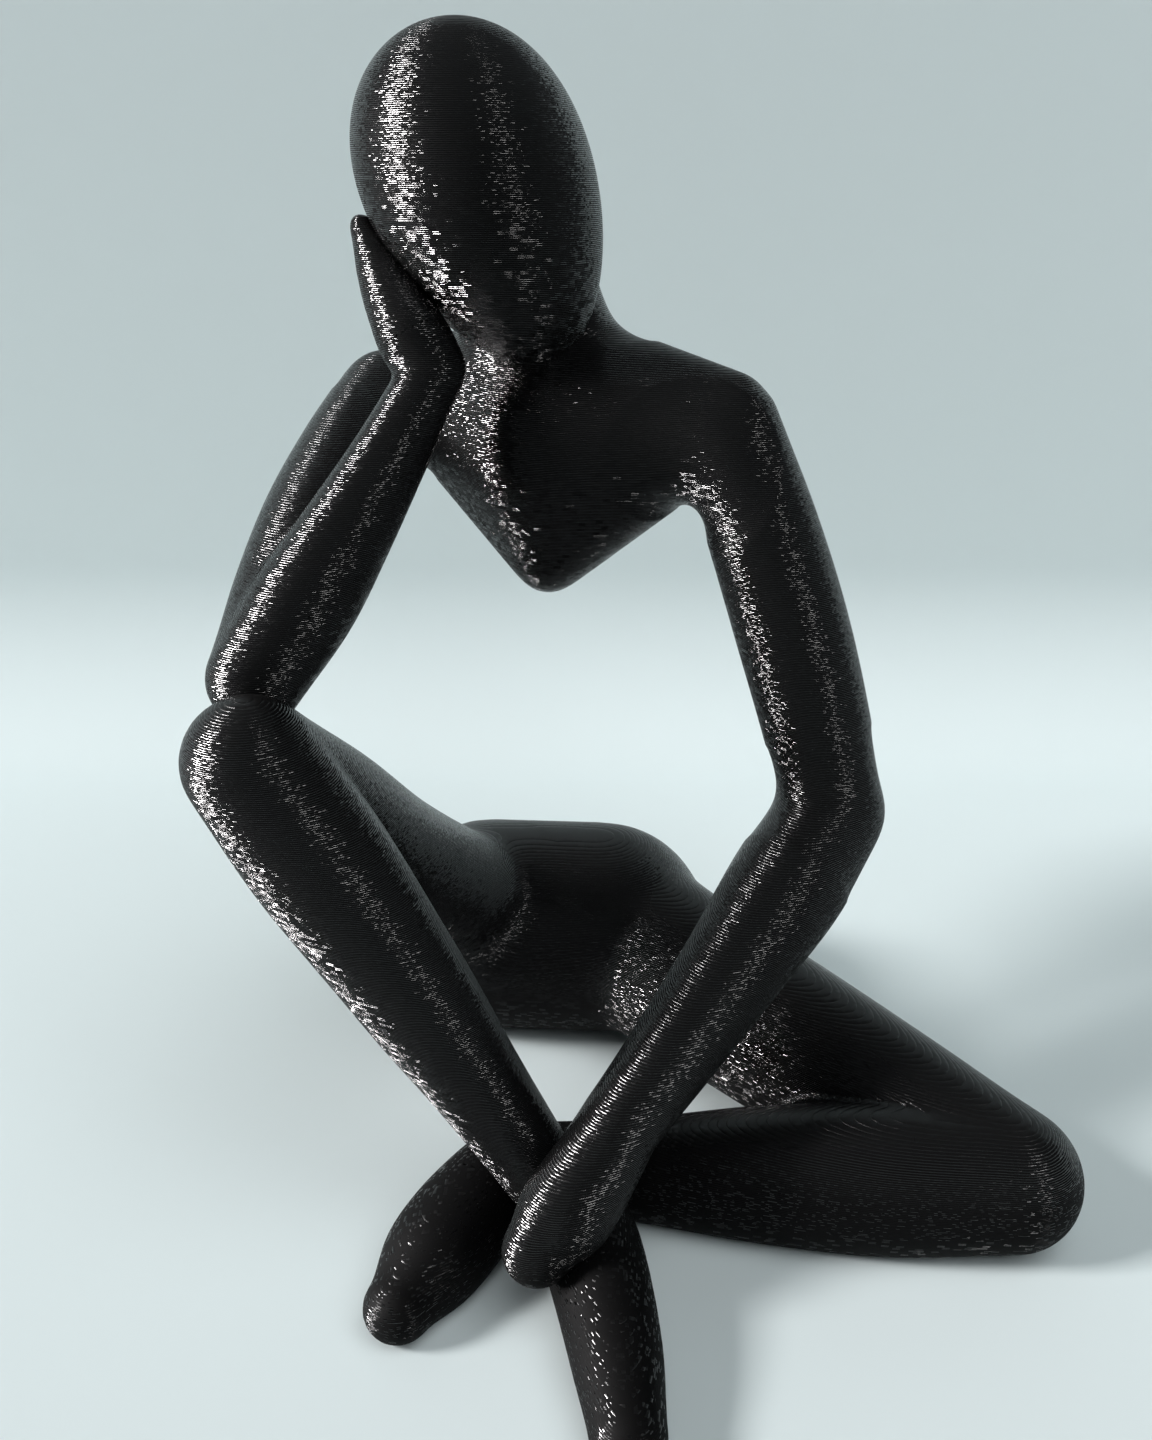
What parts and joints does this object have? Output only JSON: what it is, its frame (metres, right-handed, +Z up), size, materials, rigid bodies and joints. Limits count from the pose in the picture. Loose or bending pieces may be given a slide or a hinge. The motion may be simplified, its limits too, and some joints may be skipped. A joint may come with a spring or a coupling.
{
  "type": "seated figure ornament",
  "caption": "Black printed ornament of a faceless seated figure deep in thought, cheek on one hand, elbow on the raised knee, other hand on the ankle, resting flat on its seat and legs.",
  "frame": {"origin": "bottom centre of the figure's box, on the surface that it sits on", "axes": "+Z up; the figure faces -Y, towards the viewer; its own right arm and raised knee are towards -X"},
  "size_m": [0.0984, 0.093, 0.1305],
  "materials": {
    "printed_black": "black printed plastic, satin, with fine level layer lines",
    "dowel_plastic": "matt dark grey rod, cut square"
  },
  "bodies": {
    "root": {"head": "printed_black", "torso": "printed_black", "right_upper_arm": "printed_black", "right_forearm": "printed_black", "right_hand": "printed_black", "left_upper_arm": "printed_black", "left_forearm": "printed_black", "left_hand": "printed_black", "pelvis": "printed_black", "right_thigh": "printed_black", "right_shin": "printed_black", "right_foot": "printed_black", "left_thigh": "printed_black", "left_shin": "printed_black", "left_foot": "printed_black", "neck_dowel": "dowel_plastic", "right_shoulder_dowel": "dowel_plastic", "left_shoulder_dowel": "dowel_plastic", "right_elbow_dowel": "dowel_plastic", "left_elbow_dowel": "dowel_plastic", "right_wrist_dowel": "dowel_plastic", "left_wrist_dowel": "dowel_plastic", "right_hip_dowel": "dowel_plastic", "left_hip_dowel": "dowel_plastic", "right_knee_dowel": "dowel_plastic", "left_knee_dowel": "dowel_plastic", "right_ankle_dowel": "dowel_plastic", "left_ankle_dowel": "dowel_plastic", "elbow_rest_dowel": "dowel_plastic"}
  },
  "joints": []
}
